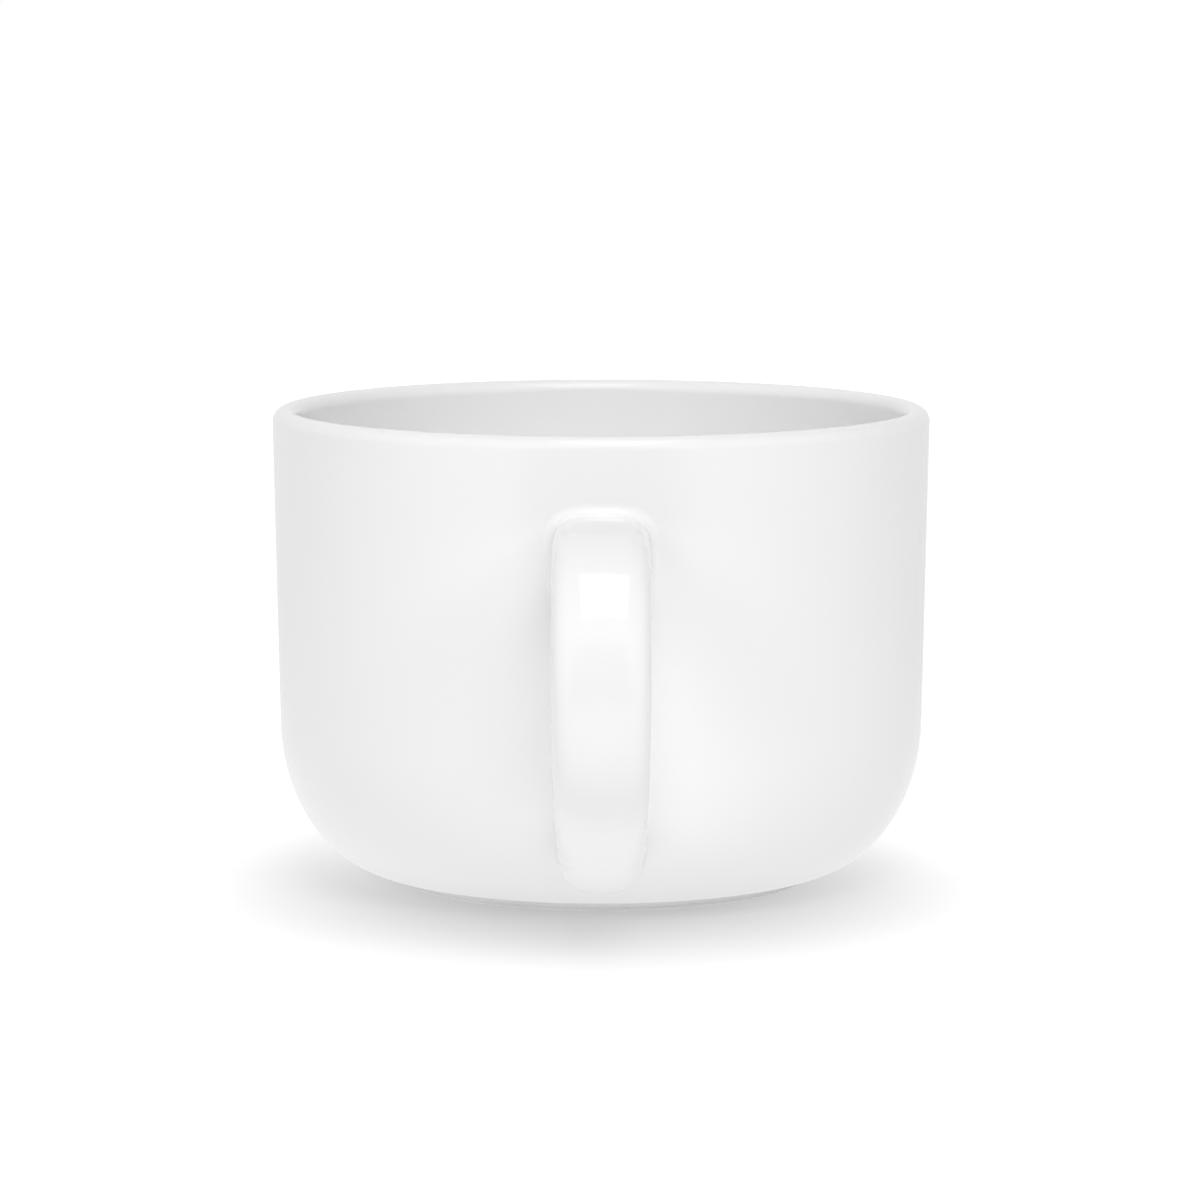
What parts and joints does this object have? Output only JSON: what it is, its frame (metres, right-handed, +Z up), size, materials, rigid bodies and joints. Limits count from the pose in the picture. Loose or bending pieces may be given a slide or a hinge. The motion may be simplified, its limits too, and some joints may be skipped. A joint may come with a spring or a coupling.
{
  "type": "latte mug",
  "caption": "Wide, low ceramic mug with a rounded bottom on a foot ring, a round lip and a strap handle, glazed gloss white, for latte and other hot drinks.",
  "frame": {"origin": "on the table under the middle of the whole mug, halfway from the back of the rim to the outside of the grip", "axes": "+Z up along the bowl's axis, -Y from the bowl towards the handle, +X to the right of a viewer who faces the handle"},
  "size_m": [0.1, 0.1352, 0.072],
  "materials": {
    "clay": "fired, unglazed and matte",
    "slip": "fired slip, covered by the glaze",
    "glaze": "white gloss"
  },
  "bodies": {
    "root": {"bowl_body": "clay", "bowl_glaze": "glaze", "base_glaze": "glaze", "handle_body": "clay", "handle_glaze": "glaze", "upper_slip_joint": "slip", "lower_slip_joint": "slip"}
  },
  "joints": []
}
